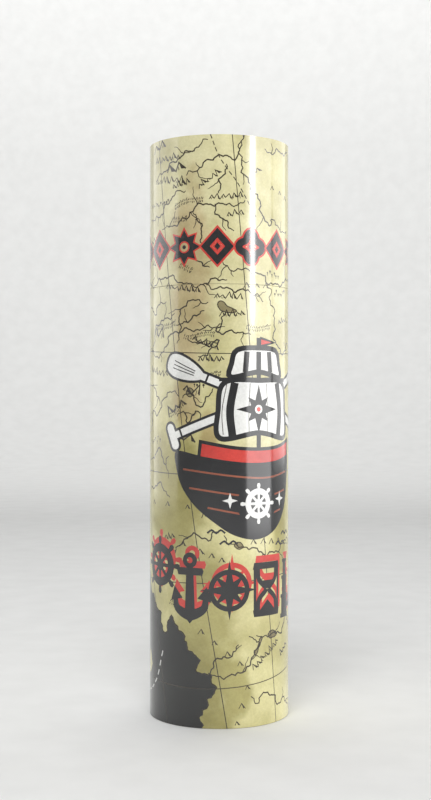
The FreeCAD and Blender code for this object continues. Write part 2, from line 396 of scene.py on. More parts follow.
def wander(points, seed, amount=0.45, closed=False):
    """A smooth path that wavers sideways, as an engraved river or coast does."""
    path = smooth(points, WANDER_STEP, closed)
    run = np.arange(len(path)) * WANDER_STEP
    total = len(path) * WANDER_STEP
    draw = random.Random(seed)
    sideways = np.zeros(len(path))
    for length, share in WAVES:
        if closed:
            length = total / max(1, round(total / length))
        phase = draw.uniform(0, 2 * math.pi)
        second_phase = draw.uniform(0, 2 * math.pi)
        drift = 0.0 if closed else 0.8 * np.sin(run / 5.3 + second_phase)
        sideways += share * np.sin(2 * math.pi * run / length + phase + drift)
    return path + across(path, closed) * (amount * sideways)[:, None]


def spread(centre, radii, turn=0.0, stretch=(1.0, 1.0)):
    """Points all round a centre, at even angles and the given radii."""
    points = []
    for index, radius in enumerate(radii):
        angle = math.radians(turn) + 2 * math.pi * index / len(radii)
        x = centre[0] + stretch[0] * radius * math.cos(angle)
        points.append((x, centre[1] + stretch[1] * radius * math.sin(angle)))
    return points


def circle(centre, radius, count):
    return spread(centre, [radius] * count)


def star(long_radius, short_radius, rays, turn=90.0, centre=(0, 0)):
    return spread(centre, [long_radius, short_radius] * rays, turn)


def moved(points, centre, size=1.0, turn=0.0):
    """A motif's own points, scaled, turned by degrees and set down at a centre."""
    cosine = math.cos(math.radians(turn)) * size
    sine = math.sin(math.radians(turn)) * size
    result = []
    for x, y in points:
        place_x = centre[0] + x * cosine - y * sine
        result.append((place_x, centre[1] + x * sine + y * cosine))
    return result


def flipped(points, x_sign, y_sign=1):
    return [(x_sign * x, y_sign * y) for x, y in points]


MITRE_LIMIT = 2.4


class Artwork:
    """Areas of ink, from the lowest to the topmost."""

    def __init__(self):
        self.areas = []

    def fill(self, ink, outline):
        self.areas.append((ink, np.array(outline, float)))

    def stroke(self, ink, path, width, closed=False):
        """A line of ink as four-sided areas. The width may differ along it."""
        path = np.array(path, float)
        if closed:
            into = path - np.roll(path, 1, 0)
            out = np.roll(path, -1, 0) - path
        else:
            spans = np.diff(path, axis=0)
            into = np.vstack([spans[:1], spans])
            out = np.vstack([spans, spans[-1:]])
        into /= np.linalg.norm(into, axis=1)[:, None]
        out /= np.linalg.norm(out, axis=1)[:, None]
        middle = into + out
        middle /= np.maximum(np.linalg.norm(middle, axis=1), 1e-6)[:, None]
        left = np.stack([-middle[:, 1], middle[:, 0]], 1)
        facing = np.abs(left[:, 0] * -into[:, 1] + left[:, 1] * into[:, 0])
        reach = np.broadcast_to(np.array(width, float) / 2, (len(path),))
        reach = (reach / np.maximum(facing, 1 / MITRE_LIMIT))[:, None]
        left_side = path + left * reach
        right_side = path - left * reach
        count = len(path) if closed else len(path) - 1
        for index in range(count):
            after = (index + 1) % len(path)
            corners = (left_side[index], right_side[index])
            self.fill(ink, [*corners, right_side[after], left_side[after]])

    def dashes(self, ink, points, dash, gap, width):
        path = smooth(points, 0.4)
        steps = np.linalg.norm(np.diff(path, axis=0), axis=1)
        run = np.concatenate([[0.0], np.cumsum(steps)])
        start = 0.0
        while start + dash < run[-1]:
            places = np.linspace(start, start + dash, 4)
            x = np.interp(places, run, path[:, 0])
            y = np.interp(places, run, path[:, 1])
            self.stroke(ink, np.stack([x, y], 1), width)
            start += dash + gap


class Pen:
    """One ink for a motif, whose own points are scaled, turned and set down."""

    def __init__(self, art, ink, centre, size=1.0, turn=0.0):
        self.art = art
        self.ink = ink
        self.setting = (centre, size, turn)
        self.size = size

    def placed(self, points):
        return moved(points, *self.setting)

    def fill(self, points):
        self.art.fill(self.ink, self.placed(points))

    def stroke(self, points, width, closed=False):
        self.art.stroke(self.ink, self.placed(points), width * self.size, closed)

    def dot(self, place, radius, count):
        centre = self.placed([place])[0]
        self.art.fill(self.ink, circle(centre, radius * self.size, count))

    def ring(self, place, radius, width, count):
        centre = self.placed([place])[0]
        path = circle(centre, radius * self.size, count)
        self.art.stroke(self.ink, path, width * self.size, closed=True)


# ---------------------------------------------------------------- map

LINE_WIDTH = 0.34
FINE_WIDTH = 0.22
GRATICULE_WIDTH = 0.26
HEAVY_WEIGHT = 1.7

RIVERS = [
    # upper front
    [(-63, 160), (-53, 161), (-43, 163), (-33, 165), (-21, 167), (-9, 169.5)],
    [(-27, 159.6), (-18, 161), (-12, 162.5), (-3, 164.7), (10, 164.3), (15, 165.5), (19, 171)],
    [(6, 162.4), (3, 159.3), (0.5, 156.7), (-1, 154)],
    [(18.5, 171), (17, 163.7), (20, 160), (26, 156), (32, 153), (35.5, 151), (36, 148),
     (44, 145.6), (45, 147.3), (50, 147), (53, 145.6), (62, 144.8), (72, 144)],
    [(39, 167.2), (47, 166.9), (55, 167.8), (63, 167.7), (74, 168), (90, 166), (104, 168)],
    [(-74, 148.5), (-63, 148.2), (-55, 149), (-47, 151.6), (-39, 154.2), (-28, 155.5)],
    [(-53, 145.3), (-43, 145), (-35, 146), (-26, 147.2), (-24, 148.8), (-13, 151),
     (-5, 151), (7, 150.6), (21, 151.8)],
    [(-21, 148.8), (-17, 147), (-15, 144), (-12.5, 139)],
    [(-5, 150.7), (-1, 148), (4, 146), (12, 143.4)],
    # between the band and the emblem
    [(-90, 131), (-73, 128.5), (-62, 129), (-50, 130.6), (-38, 130), (-31, 128.4), (-17, 127.6)],
    [(-18, 128), (-9, 128.3), (-3, 129.2), (6, 129.4)],
    [(-11, 127.8), (-3, 126.9), (10, 126.4), (23, 126), (31, 125), (37, 123)],
    [(-19, 134.6), (-13, 134.2), (-8, 132.6)],
    [(2, 134), (7, 132.4), (18, 132.2), (30, 131.5), (40, 130), (44, 128.5), (55, 128.5),
     (66, 129.4), (80, 131), (96, 128), (112, 131)],
    [(42, 128), (45.5, 126), (45, 124), (49, 121), (51, 118.5), (49.6, 116), (50, 113),
     (54, 110.6), (60, 108.6), (66, 109), (76, 111), (88, 108)],
    [(-9, 122.5), (-16, 123.2), (-24, 123), (-30, 121.8), (-32.5, 119), (-33.5, 116),
     (-34, 111)],
    [(-13, 120.6), (-16, 119), (-24, 118), (-36, 115.8)],
    [(4, 120), (3, 117.4), (-3, 114.8), (2, 114.1), (10, 114), (19, 114.3), (25, 113)],
    [(1.5, 116.7), (-6, 115.6), (-19, 114.9), (-36, 114.5), (-44, 112.8), (-49, 110),
     (-54, 107.8), (-64, 107.8), (-76, 110)],
    [(-25, 113), (-20, 111), (-10, 110.6), (-1, 111.4), (-4, 109.6), (-10, 108), (-17, 107.2)],
    [(-76, 123), (-66, 120), (-60, 122), (-48, 123.8)],
    [(-70, 108), (-66, 113), (-61, 116.6), (-50, 118), (-38, 119.6)],
    # beside the emblem
    [(-80, 84), (-74, 86.5), (-69, 91), (-62, 90.6), (-55, 92), (-50, 95), (-45, 97), (-34, 96)],
    [(-72, 99), (-62, 97), (-56, 93)],
    [(-78, 78), (-68, 77), (-61, 80), (-54, 79), (-49, 76), (-44, 78)],
    [(-30, 95), (-24, 97), (-18, 93), (-9, 95), (-5, 98)],
    [(-36, 90), (-30, 91), (-26, 88.5), (-19, 91), (-14, 89)],
    [(-78, 71), (-70, 68), (-60, 70), (-50, 68.5), (-44, 66)],
    # between the emblem and the frieze
    [(3, 57.3), (-2, 57), (-7, 54.5), (-13, 55.2), (-19, 55.6), (-29, 54.2), (-34, 52.6),
     (-37, 50.6), (-43, 50)],
    [(5, 55.8), (7, 53.6), (14, 52.3), (24, 52.2), (36, 50.2), (46, 49.8), (58, 50.8),
     (69, 53.4), (80, 52)],
    # lower front
    [(-9, 15.8), (-7, 16.8), (-2, 19.6), (3, 20.7), (11, 21.5), (16, 24)],
    [(-9, 15.4), (5, 15.1), (14, 15.5), (20, 17), (27, 19), (29, 22), (33, 24.6), (24, 26.4)],
    [(31, 25.6), (42, 26.2), (53, 26), (59, 26), (64, 28), (72, 30), (82, 27), (94, 29)],
    [(26, 9), (33, 7), (38, 9.4), (47, 8.6), (55, 5.4), (66, 6), (78, 3)],
]

# Land behind the tube, where rivers and marks are drawn at random: its first and last
# degrees, its lowest height, and how many of each it gets.
BACK_LANDS = [(78, 163, 2, 30), (-193, -92, 60, 34)]
BACK_TOP = 170              # the highest that a random river goes
BACK_MARK_TOP = 166
BACK_ROW_DEGREES = (12, 24)

LAKES = [
    [(-1, 122.6), (3, 122.9), (8, 121.4), (13.5, 120.1), (8, 119.7), (3, 119.8), (0, 121)],
    [(29, 21.8), (31, 22.6), (34, 25), (36.5, 25.6), (35, 24), (32.5, 22.2), (30, 20.9)],
    [(42, 26.3), (46, 27.2), (51, 26.8), (53, 26), (49, 25.2), (45, 25)],
    [(12, 52.6), (15, 53.6), (18.5, 53.2), (20, 52.2), (16, 51.7)],
    [(-27, 96.6), (-24, 98), (-21, 97.4), (-22, 95.8), (-25, 95.4)],
    [(118, 158.6), (124, 160), (130, 158), (126, 155.6), (120, 156)],
    [(127, 69), (131, 71.6), (137, 70.6), (139, 67), (133, 65)],
    [(-128, 71), (-121, 74), (-115, 72), (-119, 69), (-125, 68)],
]

SEA_COAST = [
    (-188, -4), (-184, 6), (-189, 17), (-181, 26), (-186, 37), (-179, 45), (-170, 53),
    (-158, 53), (-146, 57), (-134, 50), (-124, 52),
    (-113, 44), (-101, 47), (-92, 41), (-82, 43), (-74, 38), (-66, 35.5), (-59, 33),
    (-54, 30), (-50, 26), (-46, 29.6), (-40, 31), (-34, 28.4), (-29, 25.4), (-25, 23.4),
    (-21, 21), (-17.5, 20), (-16, 16), (-9, 15.4), (-5, 14), (-4.5, 10.4), (-9, 7.6),
    (-14, 4), (-14.5, -3),
]
SEA_CLOSING = [(-14.5, -8), (-188, -8)]

ISLANDS = [
    [(-118, 31), (-110, 35), (-101, 33), (-98, 28), (-105, 24), (-115, 25)],
    [(-160, 38), (-152, 41), (-146, 37), (-151, 33), (-158, 34)],
    [(-83, 17), (-77, 20), (-72, 17), (-76, 13), (-82, 13)],
    [(-140, 17), (-133, 20), (-127, 15), (-133, 10), (-140, 12)],
    [(-173, 26), (-168, 30), (-163, 25), (-167, 20), (-172, 21)],
]

# Lines of longitude as (top, middle and bottom degrees), and of latitude as heights at
# the left end, the front and the right end.
LONGITUDES = [
    (-190, -142, -98), (-122, -82, -45), (-58, -26, 7), (10, 34, 53), (75, 86, 98),
    (135, 139, 143), (190, 190, 190),
]
LATITUDES = [(112, 108, 110), (75, 73, 75), (41, 42, 46), (16, 11.6, 22)]

# Rows of small marks: start and end, and for lone hills also the distance between them.
MARK_ROWS = [
    ((-63, 164.4), (-32, 164.6)), ((-63, 158.4), (-29, 157.6)), ((-40, 156.2), (-23, 157.2)),
    ((-16, 155.4), (2, 160)), ((-73, 152.4), (-43, 152.6)), ((-38, 150.8), (-13, 152.8)),
    ((-8, 152.4), (19, 152.8)), ((6, 147.4), (20, 148)), ((48, 156.5), (68, 154.5), 4.2),
    ((-39, 146.8), (-26, 147.6)), ((-48, 127.2), (-15, 125.6)), ((-4, 123.9), (19, 123.7)),
    ((0, 118.6), (21, 119)), ((42, 131.4), (57, 131.6)), ((51, 126), (70, 126.4)),
    ((23, 127.6), (40, 127.8), 3.0), ((-29, 113.2), (-3, 113.2)), ((-22, 112), (-1, 109)),
    ((22, 115.6), (45, 115.6)), ((-17, 105.8), (4, 106)), ((-12, 101.6), (2, 101.8)),
    ((-60, 115.4), (-38, 117.2)), ((-73, 103), (-46, 101.6)), ((-72, 82), (-56, 83.6)),
    ((-50, 54), (-38, 54.4)), ((-30, 52.8), (2, 48.6), 3.2), ((28, 53.4), (56, 53.2), 3.4),
    ((-43, 35.4), (-34, 35)), ((-66, 64.4), (-26, 63.6), 6.6), ((-14, 60.6), (-3, 60.8)),
    ((-14, 27.6), (17, 18.4), 4.2), ((23, 11.4), (14, 1.6), 4.6), ((28, 16.4), (56, 23.8)),
    ((60, 19), (72, 22)), ((-44, 90.5), (-30, 93)), ((-36, 84), (-22, 86)),
    ((-20, 99), (-9, 99.5)), ((-72, 140.6), (-60, 142)), ((-33, 133.4), (-22, 132.4)),
    ((26, 159.6), (36, 161)), ((44, 140), (58, 139.4)), ((56, 117), (74, 118)),
    ((-70, 134.5), (-54, 134)), ((24, 103.5), (40, 103)), ((48, 99), (66, 97)),
]

# Mountain ranges drawn with a heavy line: start and end.
HEAVY_RANGES = [
    ((-44, 89.5), (-27, 93.5)), ((-38, 83.6), (-20, 82.6)), ((-30, 97.5), (-16, 95.6)),
    ((-66, 167.4), (-48, 169)), ((-46, 161), (-28, 161.6)), ((-66, 113.4), (-50, 112.6)),
]


def hill(art, place, size, draw):
    """A lone hill with its right side shaded."""
    lean = draw.uniform(-0.15, 0.15)
    outline = [(-0.62, -0.4), (lean - 0.1, 0.5), (0.62, -0.4)]
    art.stroke("line", moved(outline, place, size), FINE_WIDTH)
    shade = [(lean, 0.42), (0.32, -0.34)]
    art.stroke("line", moved(shade, place, size), LINE_WIDTH)


def ridge(pen, length, draw, weight=1.0):
    """A mountain range: uneven peaks, each with its right side in shade."""
    count = max(2, round(length / (1.7 * weight)))
    skyline = [(0.0, 0.0)]
    for index in range(count):
        peak_x = (index + 0.45 + draw.uniform(-0.2, 0.2)) * length / count
        peak_y = draw.uniform(0.9, 2.0) * weight
        foot_x = (index + 1 + draw.uniform(-0.12, 0.12)) * length / count
        foot_y = draw.uniform(-0.3, 0.3)
        skyline += [(peak_x, peak_y), (foot_x, foot_y)]
        inner_x = peak_x + 0.3 * (foot_x - peak_x)
        pen.fill([(peak_x, peak_y), (inner_x, foot_y + 0.1 * peak_y), (foot_x, foot_y)])
        if draw.random() < 0.6:
            pen.stroke([(peak_x - 0.3, 0.45 * peak_y), (peak_x - 0.15, -0.1)], FINE_WIDTH)
    pen.stroke(skyline, 0.26 * weight)


def slope(pen, length, draw):
    """A steep edge of land: short strokes that fan out on both sides of a crest."""
    phase = draw.uniform(0, 2 * math.pi)
    run = 0.0
    while run < length:
        crest = 0.45 * math.sin(run / 1.9 + phase)
        for side in (-1, 1):
            lean = side * draw.uniform(0.05, 0.4) + 0.15
            reach = side * draw.uniform(0.5, 1.0)
            pen.stroke([(run, crest + 0.12 * side), (run + lean, crest + reach)], FINE_WIDTH)
        run += draw.uniform(0.42, 0.7)


def wood(pen, length, draw):
    """A line of small trees, which stand upright whichever way the line runs."""
    run = 0.0
    while run < length:
        place = (run, draw.uniform(-0.7, 0.7))
        pen.dot(place, draw.uniform(0.28, 0.42), 7)
        x, y = pen.placed([place])[0]
        pen.art.stroke(pen.ink, [(x, y), (x, y - 0.8)], 0.2)
        run += draw.uniform(0.7, 1.2)


def row_of(art, start, end):
    """A pen set at the start of a row of marks, and the row's reach and length."""
    first, last = flat([start, end])
    reach = last - first
    turn = math.degrees(math.atan2(reach[1], reach[0]))
    return Pen(art, "line", first, 1.0, turn), reach, float(np.linalg.norm(reach))


def back_rows(draw):
    """Rows of marks at random places on the lands behind the tube."""
    rows = []
    for first, last, lowest, count in BACK_LANDS:
        for _ in range(count):
            start = (draw.uniform(first, last - BACK_ROW_DEGREES[1]),
                     draw.uniform(lowest, BACK_MARK_TOP))
            reach = (draw.uniform(*BACK_ROW_DEGREES), draw.uniform(-1.5, 1.5))
            end = (start[0] + reach[0], start[1] + reach[1])
            rows.append((start, end, *draw.choice(((), (), (4.2,)))))
    return rows


def mark_rows(art):
    draw = random.Random(5)
    for start, end in HEAVY_RANGES:
        pen, _, length = row_of(art, start, end)
        ridge(pen, length, draw, HEAVY_WEIGHT)
    for start, end, *distance in MARK_ROWS + back_rows(draw):
        pen, reach, length = row_of(art, start, end)
        if not distance:
            kind = draw.choices((ridge, slope, wood), (6, 3, 1))[0]
            kind(pen, length, draw)
            continue
        count = max(1, round(length / distance[0]))
        for index in range(count + 1):
            shift = (draw.uniform(-0.2, 0.2), draw.uniform(-0.2, 0.2))
            place = flat(start) + reach * index / count + shift
            hill(art, place, draw.uniform(1.2, 1.8), draw)


def graticule(art):
    curves = []
    for top, middle, bottom in LONGITUDES:
        curves.append([(top, 172), (middle, 73), (bottom, -2)])
    for left, front, right in LATITUDES:
        curves.append([(-200, left), (0, front), (170, right)])
    for points in curves:
        art.stroke("line", smooth(flat(points), 6.0), GRATICULE_WIDTH)


def tributaries(art, path, draw):
    """Short streams that run into a river from both sides."""
    for _ in range(max(1, len(path) // 16)):
        index = draw.randrange(3, len(path) - 3)
        along = path[index + 1] - path[index]
        heading = math.atan2(along[1], along[0])
        heading += draw.choice((-1, 1)) * math.radians(draw.uniform(35, 80))
        bend = math.radians(draw.uniform(-40, 40))
        reach = draw.uniform(2.0, 6.0)
        points = [path[index]]
        for angle in (heading, heading + bend):
            ahead = np.array([math.cos(angle), math.sin(angle)])
            points.append(points[-1] + 0.5 * reach * ahead)
        stream = wander(points, draw.randrange(1000), 0.22)
        art.stroke("line", stream, np.linspace(0.32, 0.16, len(stream)))


def back_rivers(draw):
    """Rivers that wander at random over the lands behind the tube."""
    paths = []
    step_degrees = 10.0
    for first, last, lowest, count in BACK_LANDS:
        for _ in range(count):
            degrees = draw.uniform(first, last)
            height = draw.uniform(lowest, BACK_TOP)
            heading = draw.uniform(0, 2 * math.pi)
            points = []
            for _ in range(draw.randint(5, 9)):
                if first < degrees < last and lowest < height < BACK_TOP:
                    points.append((degrees, height))
                degrees += step_degrees * math.cos(heading)
                height += step_degrees * MM_PER_DEGREE * math.sin(heading)
                heading += draw.uniform(-0.9, 0.9)
            if len(points) > 3:
                paths.append(points)
    return paths


def rivers(art):
    draw = random.Random(11)
    for number, points in enumerate(RIVERS + back_rivers(draw)):
        path = wander(flat(points), number)
        share = np.linspace(0.0, 1.0, len(path))
        art.stroke("line", path, LINE_WIDTH * (0.8 + 0.45 * np.sin(share * math.pi)))
        tributaries(art, path, draw)


def shores(art, outlines, ink, first_seed, amount, width):
    """Closed areas of one ink, each with a wavering shore line round it."""
    for number, points in enumerate(outlines):
        shore = wander(flat(points), first_seed + number, amount, closed=True)
        art.fill(ink, shore)
        art.stroke("line", shore, width, closed=True)


def sea_and_lakes(art):
    coast = wander(flat(SEA_COAST), 101, 0.5)
    art.fill("sea", np.vstack([coast, flat(SEA_CLOSING)]))
    art.stroke("line", coast, 0.4)
    shores(art, ISLANDS, "paper", 200, 0.3, LINE_WIDTH)
    shores(art, LAKES, "lake", 400, 0.15, 0.3)


def routes(art):
    land_route = [(-7, 171), (-1, 165.3), (6, 161.2), (14, 157.4), (23, 152), (33, 146)]
    art.dashes("line", flat(land_route), 1.3, 0.7, 0.3)
    sea_route = [(-52, 21), (-62, 12), (-80, 8), (-96, 14), (-106, 20), (-124, 23),
                 (-142, 26), (-155, 31)]
    art.dashes("white", flat(sea_route), 1.8, 1.3, 0.45)


# ---------------------------------------------------------------- motifs
#
# Each motif takes a pen with one ink, so that it can be drawn twice: first in red,
# shifted or grown, and then in black.

def quatrefoil(pen, grow):
    count = 44
    waves = [math.cos(8 * math.pi * index / count) for index in range(count)]
    path = spread((0, 0), [3.3 + 0.72 * wave for wave in waves], 0.0, (0.95, 1.02))
    pen.stroke(path, 2.1 + 2 * grow, closed=True)
    pen.dot((0, 0), 0.8 + grow, 14)


def lozenge(pen, grow):
    pen.stroke([(-3.5, 0), (0, 3.9), (3.5, 0), (0, -3.9)], 1.9 + 2 * grow, closed=True)
    pen.fill([(-0.9 - grow, 0), (0, 1.1 + grow), (0.9 + grow, 0), (0, -1.1 - grow)])


def sunburst(pen, grow):
    pen.fill(star(5.0 + 1.6 * grow, 3.1 + grow, 8))


SUNBURST_EYE = [("red", 1.75, 20), ("paper", 1.3, 20), ("black", 0.6, 12)]
BAND_KINDS = [lozenge, sunburst, lozenge, quatrefoil]
BAND_HEIGHT = 138.8
BAND_COUNT = 12
BAND_PITCH_DEGREES = 27.5
BAND_FIRST_DEGREES = -166.5
BAND_OUTLINE = 0.55


def band(art):
    """The row of heavy black ornaments, outlined in red, near the top."""
    for index in range(BAND_COUNT):
        centre = flat((BAND_FIRST_DEGREES + index * BAND_PITCH_DEGREES, BAND_HEIGHT))
        kind = BAND_KINDS[index % len(BAND_KINDS)]
        kind(Pen(art, "red", centre), BAND_OUTLINE)
        kind(Pen(art, "black", centre), 0.0)
        if kind is sunburst:
            for ink, radius, count in SUNBURST_EYE:
                art.fill(ink, circle(centre, radius, count))


def ships_wheel(pen):
    """A wheel of radius 1, with eight spokes that end in grips."""
    pen.ring((0, 0), 0.6, 0.29, 40)
    pen.dot((0, 0), 0.22, 20)
    spoke = [(0.1, 0.0), (0.72, 0.0), (0.9, 0.0), (1.0, 0.0)]
    for index in range(8):
        turned = moved(spoke, (0, 0), 1.0, 45.0 * index)
        pen.stroke(turned, np.array([0.13, 0.12, 0.2, 0.12]))


def anchor(pen):
    """An anchor about 20 units tall."""
    pen.ring((0, 7.9), 1.6, 1.4, 22)
    pen.fill([(-1.1, 6.4), (1.1, 6.4), (1.6, -7.0), (-1.6, -7.0)])
    pen.fill([(-4.3, 4.7), (-3.9, 3.5), (3.9, 3.5), (4.3, 4.7), (3.9, 5.7), (-3.9, 5.7)])
    arms = smooth([(-5.0, -3.4), (-4.2, -6.4), (0, -8.2), (4.2, -6.4), (5.0, -3.4)], 0.8)
    pen.stroke(arms, 3.4 - 1.8 * np.abs(np.linspace(-1, 1, len(arms))))
    for side in (-1, 1):
        pen.fill(flipped([(2.4, -3.3), (5.3, 0.2), (6.7, -4.4), (5.0, -4.0)], side))
    pen.fill([(-1.7, -8.8), (0, -10.8), (1.7, -8.8)])


def ringed_star(pen):
    """A star of eight points, of radius 1, with a ring on it."""
    pen.fill(star(1.0, 0.22, 4))
    pen.fill(star(0.72, 0.2, 4, 45.0))
    pen.ring((0, 0), 0.62, 0.17, 40)


def hourglass(pen):
    bulb = smooth([(-3.7, 6.2), (-3.3, 3.0), (-0.9, 0.6), (-0.5, 0.0)], 0.5)
    for side in (-1, 1):
        pen.fill(flipped([(-5.4, 6.0), (5.4, 6.0), (5.0, 8.0), (-5.0, 8.0)], 1, side))
        for mirror in (-1, 1):
            pen.stroke(flipped(bulb, mirror, side), 1.5)
            pen.stroke(flipped([(-4.7, 0.0), (-4.7, 6.4)], mirror, side), 0.9)
    pen.fill([(-2.9, 2.6), (2.9, 2.6), (0.3, 0.2), (-0.3, 0.2)])
    pen.fill([(-3.1, -6.2), (3.1, -6.2), (0.0, -3.1)])


def spyglass(pen):
    """A telescope drawn out, standing on its wide end."""
    bars = [(2.9, -9.6, -8.3)]
    for half, low, high in ((2.3, -9.0, -2.6), (1.75, -2.6, 3.0), (1.25, 3.0, 8.0)):
        bars += [(half, low, high), (half + 0.5, high - 0.9, high + 0.1)]
    for half, low, high in bars:
        pen.fill([(-half, low), (half, low), (half, high), (-half, high)])


def bell(pen):
    right = smooth([(0.8, 7.2), (3.4, 6.2), (4.1, 1.0), (5.0, -3.4), (7.0, -5.6)], 0.9)
    pen.fill([*right, *flipped(right[::-1], -1)])
    pen.fill([(-7.2, -5.7), (7.2, -5.7), (6.9, -7.2), (-6.9, -7.2)])
    pen.dot((0, -8.3), 1.5, 18)
    pen.ring((0, 8.0), 1.2, 0.9, 18)


SHADOW_SHIFT = (0.75, 2.0)

FRIEZE = [
    # motif, degrees, height, size
    (ships_wheel, -56, 46.2, 8.4),
    (anchor, -24, 40.6, 0.98),
    (ringed_star, 8, 39.8, 8.6),
    (hourglass, 42, 39.6, 0.98),
    (spyglass, 67, 39.6, 0.98),
    (bell, 92, 40.0, 0.98),
]


def frieze(art):
    """The row of large black motifs, each with a red one behind it, shifted up."""
    for motif, degrees, height, size in FRIEZE:
        centre = flat((degrees, height))
        motif(Pen(art, "red", centre + SHADOW_SHIFT, size))
        motif(Pen(art, "black", centre, size))


# ---------------------------------------------------------------- ship emblem
#
# The ship's own x runs from its mast, and y is the height on the tube.

EMBLEM_X = 12.1
OUTLINE = 0.75


def oar(art, grip, blade):
    """A white oar with a black outline, from its crosswise grip to its blade."""
    reach = blade - grip
    length = float(np.linalg.norm(reach))
    turn = math.degrees(math.atan2(reach[1], reach[0]))
    black = Pen(art, "black", grip, 1.0, turn)
    white = Pen(art, "white", grip, 1.0, turn)
    side = [(length - 12.0, 0.9), (length - 8.0, 2.7), (length - 3.0, 3.3), (length, 1.9)]
    leaf = smooth(side + flipped(side[::-1], 1, -1), 0.8, closed=True)
    for pen, grow in ((black, OUTLINE), (white, 0.0)):
        pen.stroke([(1.0, 0.0), (length - 10.0, 0.0)], 2.0 + 2 * grow)
        pen.stroke([(0.9, -2.6), (0.9, 2.6)], 2.6 + 2 * grow)
        for end_y in (-2.6, 2.6):
            pen.dot((0.9, end_y), 1.3 + grow, 18)
        pen.fill(leaf + across(leaf, closed=True) * grow)
    for x, half in ((length - 13.5, 1.4), (4.0, 1.2)):
        black.stroke([(x, -half), (x, half)], 0.6)
    for y in (-1.1, 0.0, 1.1):
        black.stroke([(length - 9.5, 0.6 * y), (length - 2.0, y)], 0.3)


def sail(white, black, low, high, low_half, high_half, belly):
    """A square sail filled by the wind, white with a black outline."""
    middle = (low + high) / 2
    half = (low_half + high_half) / 2 + belly
    outline = smooth([
        (-low_half, low), (-half, middle), (-high_half, high), (0, high + 0.7),
        (high_half, high), (half, middle), (low_half, low), (0, low + 1.5),
    ], 1.0, closed=True)
    white.fill(outline)
    black.stroke(outline, 2 * OUTLINE, closed=True)


def ship(art):
    """A sailing ship seen from the side, over crossed oars."""
    crossing = np.array([EMBLEM_X, 94.2])
    for side in (-1, 1):
        oar(art, crossing - (side * 27.6, 10.6), crossing + (side * 28.2, 11.6))
    inks = ("black", "white", "red", "brown", "line")
    black, white, red, brown, line = [Pen(art, ink, (EMBLEM_X, 0.0)) for ink in inks]
    # mast and pennant
    black.stroke([(0, 76.0), (0, 112.6)], 1.5)
    black.fill([(0.5, 113.0), (7.1, 111.4), (0.5, 109.8)])
    red.fill([(0.9, 112.2), (5.0, 111.4), (0.9, 110.6)])
    # sails
    sail(white, black, 101.2, 109.0, 8.8, 6.9, 0.7)
    sail(white, black, 83.6, 99.6, 11.9, 10.6, 1.2)
    for shift in (-4.4, 0.0, 4.4):
        black.stroke([(shift, 102.6), (shift * 0.88, 108.6)], 1.7)
    for side in (-1, 1):
        stripe = smooth([(side * 8.3, 84.2), (side * 9.0, 91.5), (side * 7.6, 99.6)], 1.2)
        black.stroke(stripe, 2.3)
        for shift in (side * 3.2, side * 11.0):
            seam = smooth([(shift, 84.6), (shift * 1.03, 91.5), (shift * 0.9, 99.4)], 1.6)
            line.stroke(seam, 0.22)
    black.fill(star(7.2, 2.1, 4, 90.0, (0, 91.9)))
    black.fill(star(5.0, 2.1, 4, 45.0, (0, 91.9)))
    white.dot((0, 91.9), 1.3, 18)
    red.dot((0, 91.9), 0.7, 14)
    black.stroke([(-12.2, 100.5), (12.2, 100.5)], 1.1)
    # hull with a full bow
    black.fill(smooth([
        (-25.5, 79.8), (-17.7, 78.6), (-7.9, 77.2), (0, 76.8), (7.5, 77.2),
        (15.3, 79.0), (14.5, 70.5), (11.9, 62.5), (6.5, 56.6), (-0.5, 54.2), (-7.7, 55.6),
        (-13.7, 59.4), (-19.3, 64.0), (-23.5, 69.4), (-25.5, 75.0),
    ], 1.2, closed=True))
    for depth, left_x, right_x in ((3.2, -23.1, 13.5), (8.6, -21.1, 12.3), (14.2, -15.5, 9.5)):
        plank = [(left_x, 77.8 - depth), (0, 75.2 - depth), (right_x, 76.6 - depth)]
        brown.stroke(smooth(plank, 1.2), 0.55)
    # gunwale band
    top = smooth([(-17.6, 82.6), (-8.1, 80.9), (0, 80.4), (7.7, 80.9), (15.3, 82.8)], 1.2)
    bottom = smooth([(14.9, 78.0), (7.5, 76.4), (0, 75.9), (-7.9, 76.4), (-18.1, 78.0)], 1.2)
    red.fill([*top, *bottom])
    black.stroke([*top, *bottom], 1.0, closed=True)
    # white marks on the hull
    black.dot((0, 64.6), 6.9, 32)
    ships_wheel(Pen(art, "white", (EMBLEM_X, 64.6), 5.9))
    for side in (-1, 1):
        white.fill(star(2.3, 0.75, 4, 90.0, (side * 9.0, 65.6)))
    # bow waves
    crest = [(-2.6, -0.3), (-1.3, 0.6), (0.0, -0.3), (1.3, 0.6), (2.6, -0.3)]
    for place in ((-13.0, 56.6), (-9.4, 53.4), (12.6, 55.2), (9.6, 52.4)):
        black.stroke(smooth(moved(crest, place), 0.5), 0.55)


# ---------------------------------------------------------------- wind rose

ROSE_PLACE = (-138, 99)
ROSE_RADIUS = 15.0


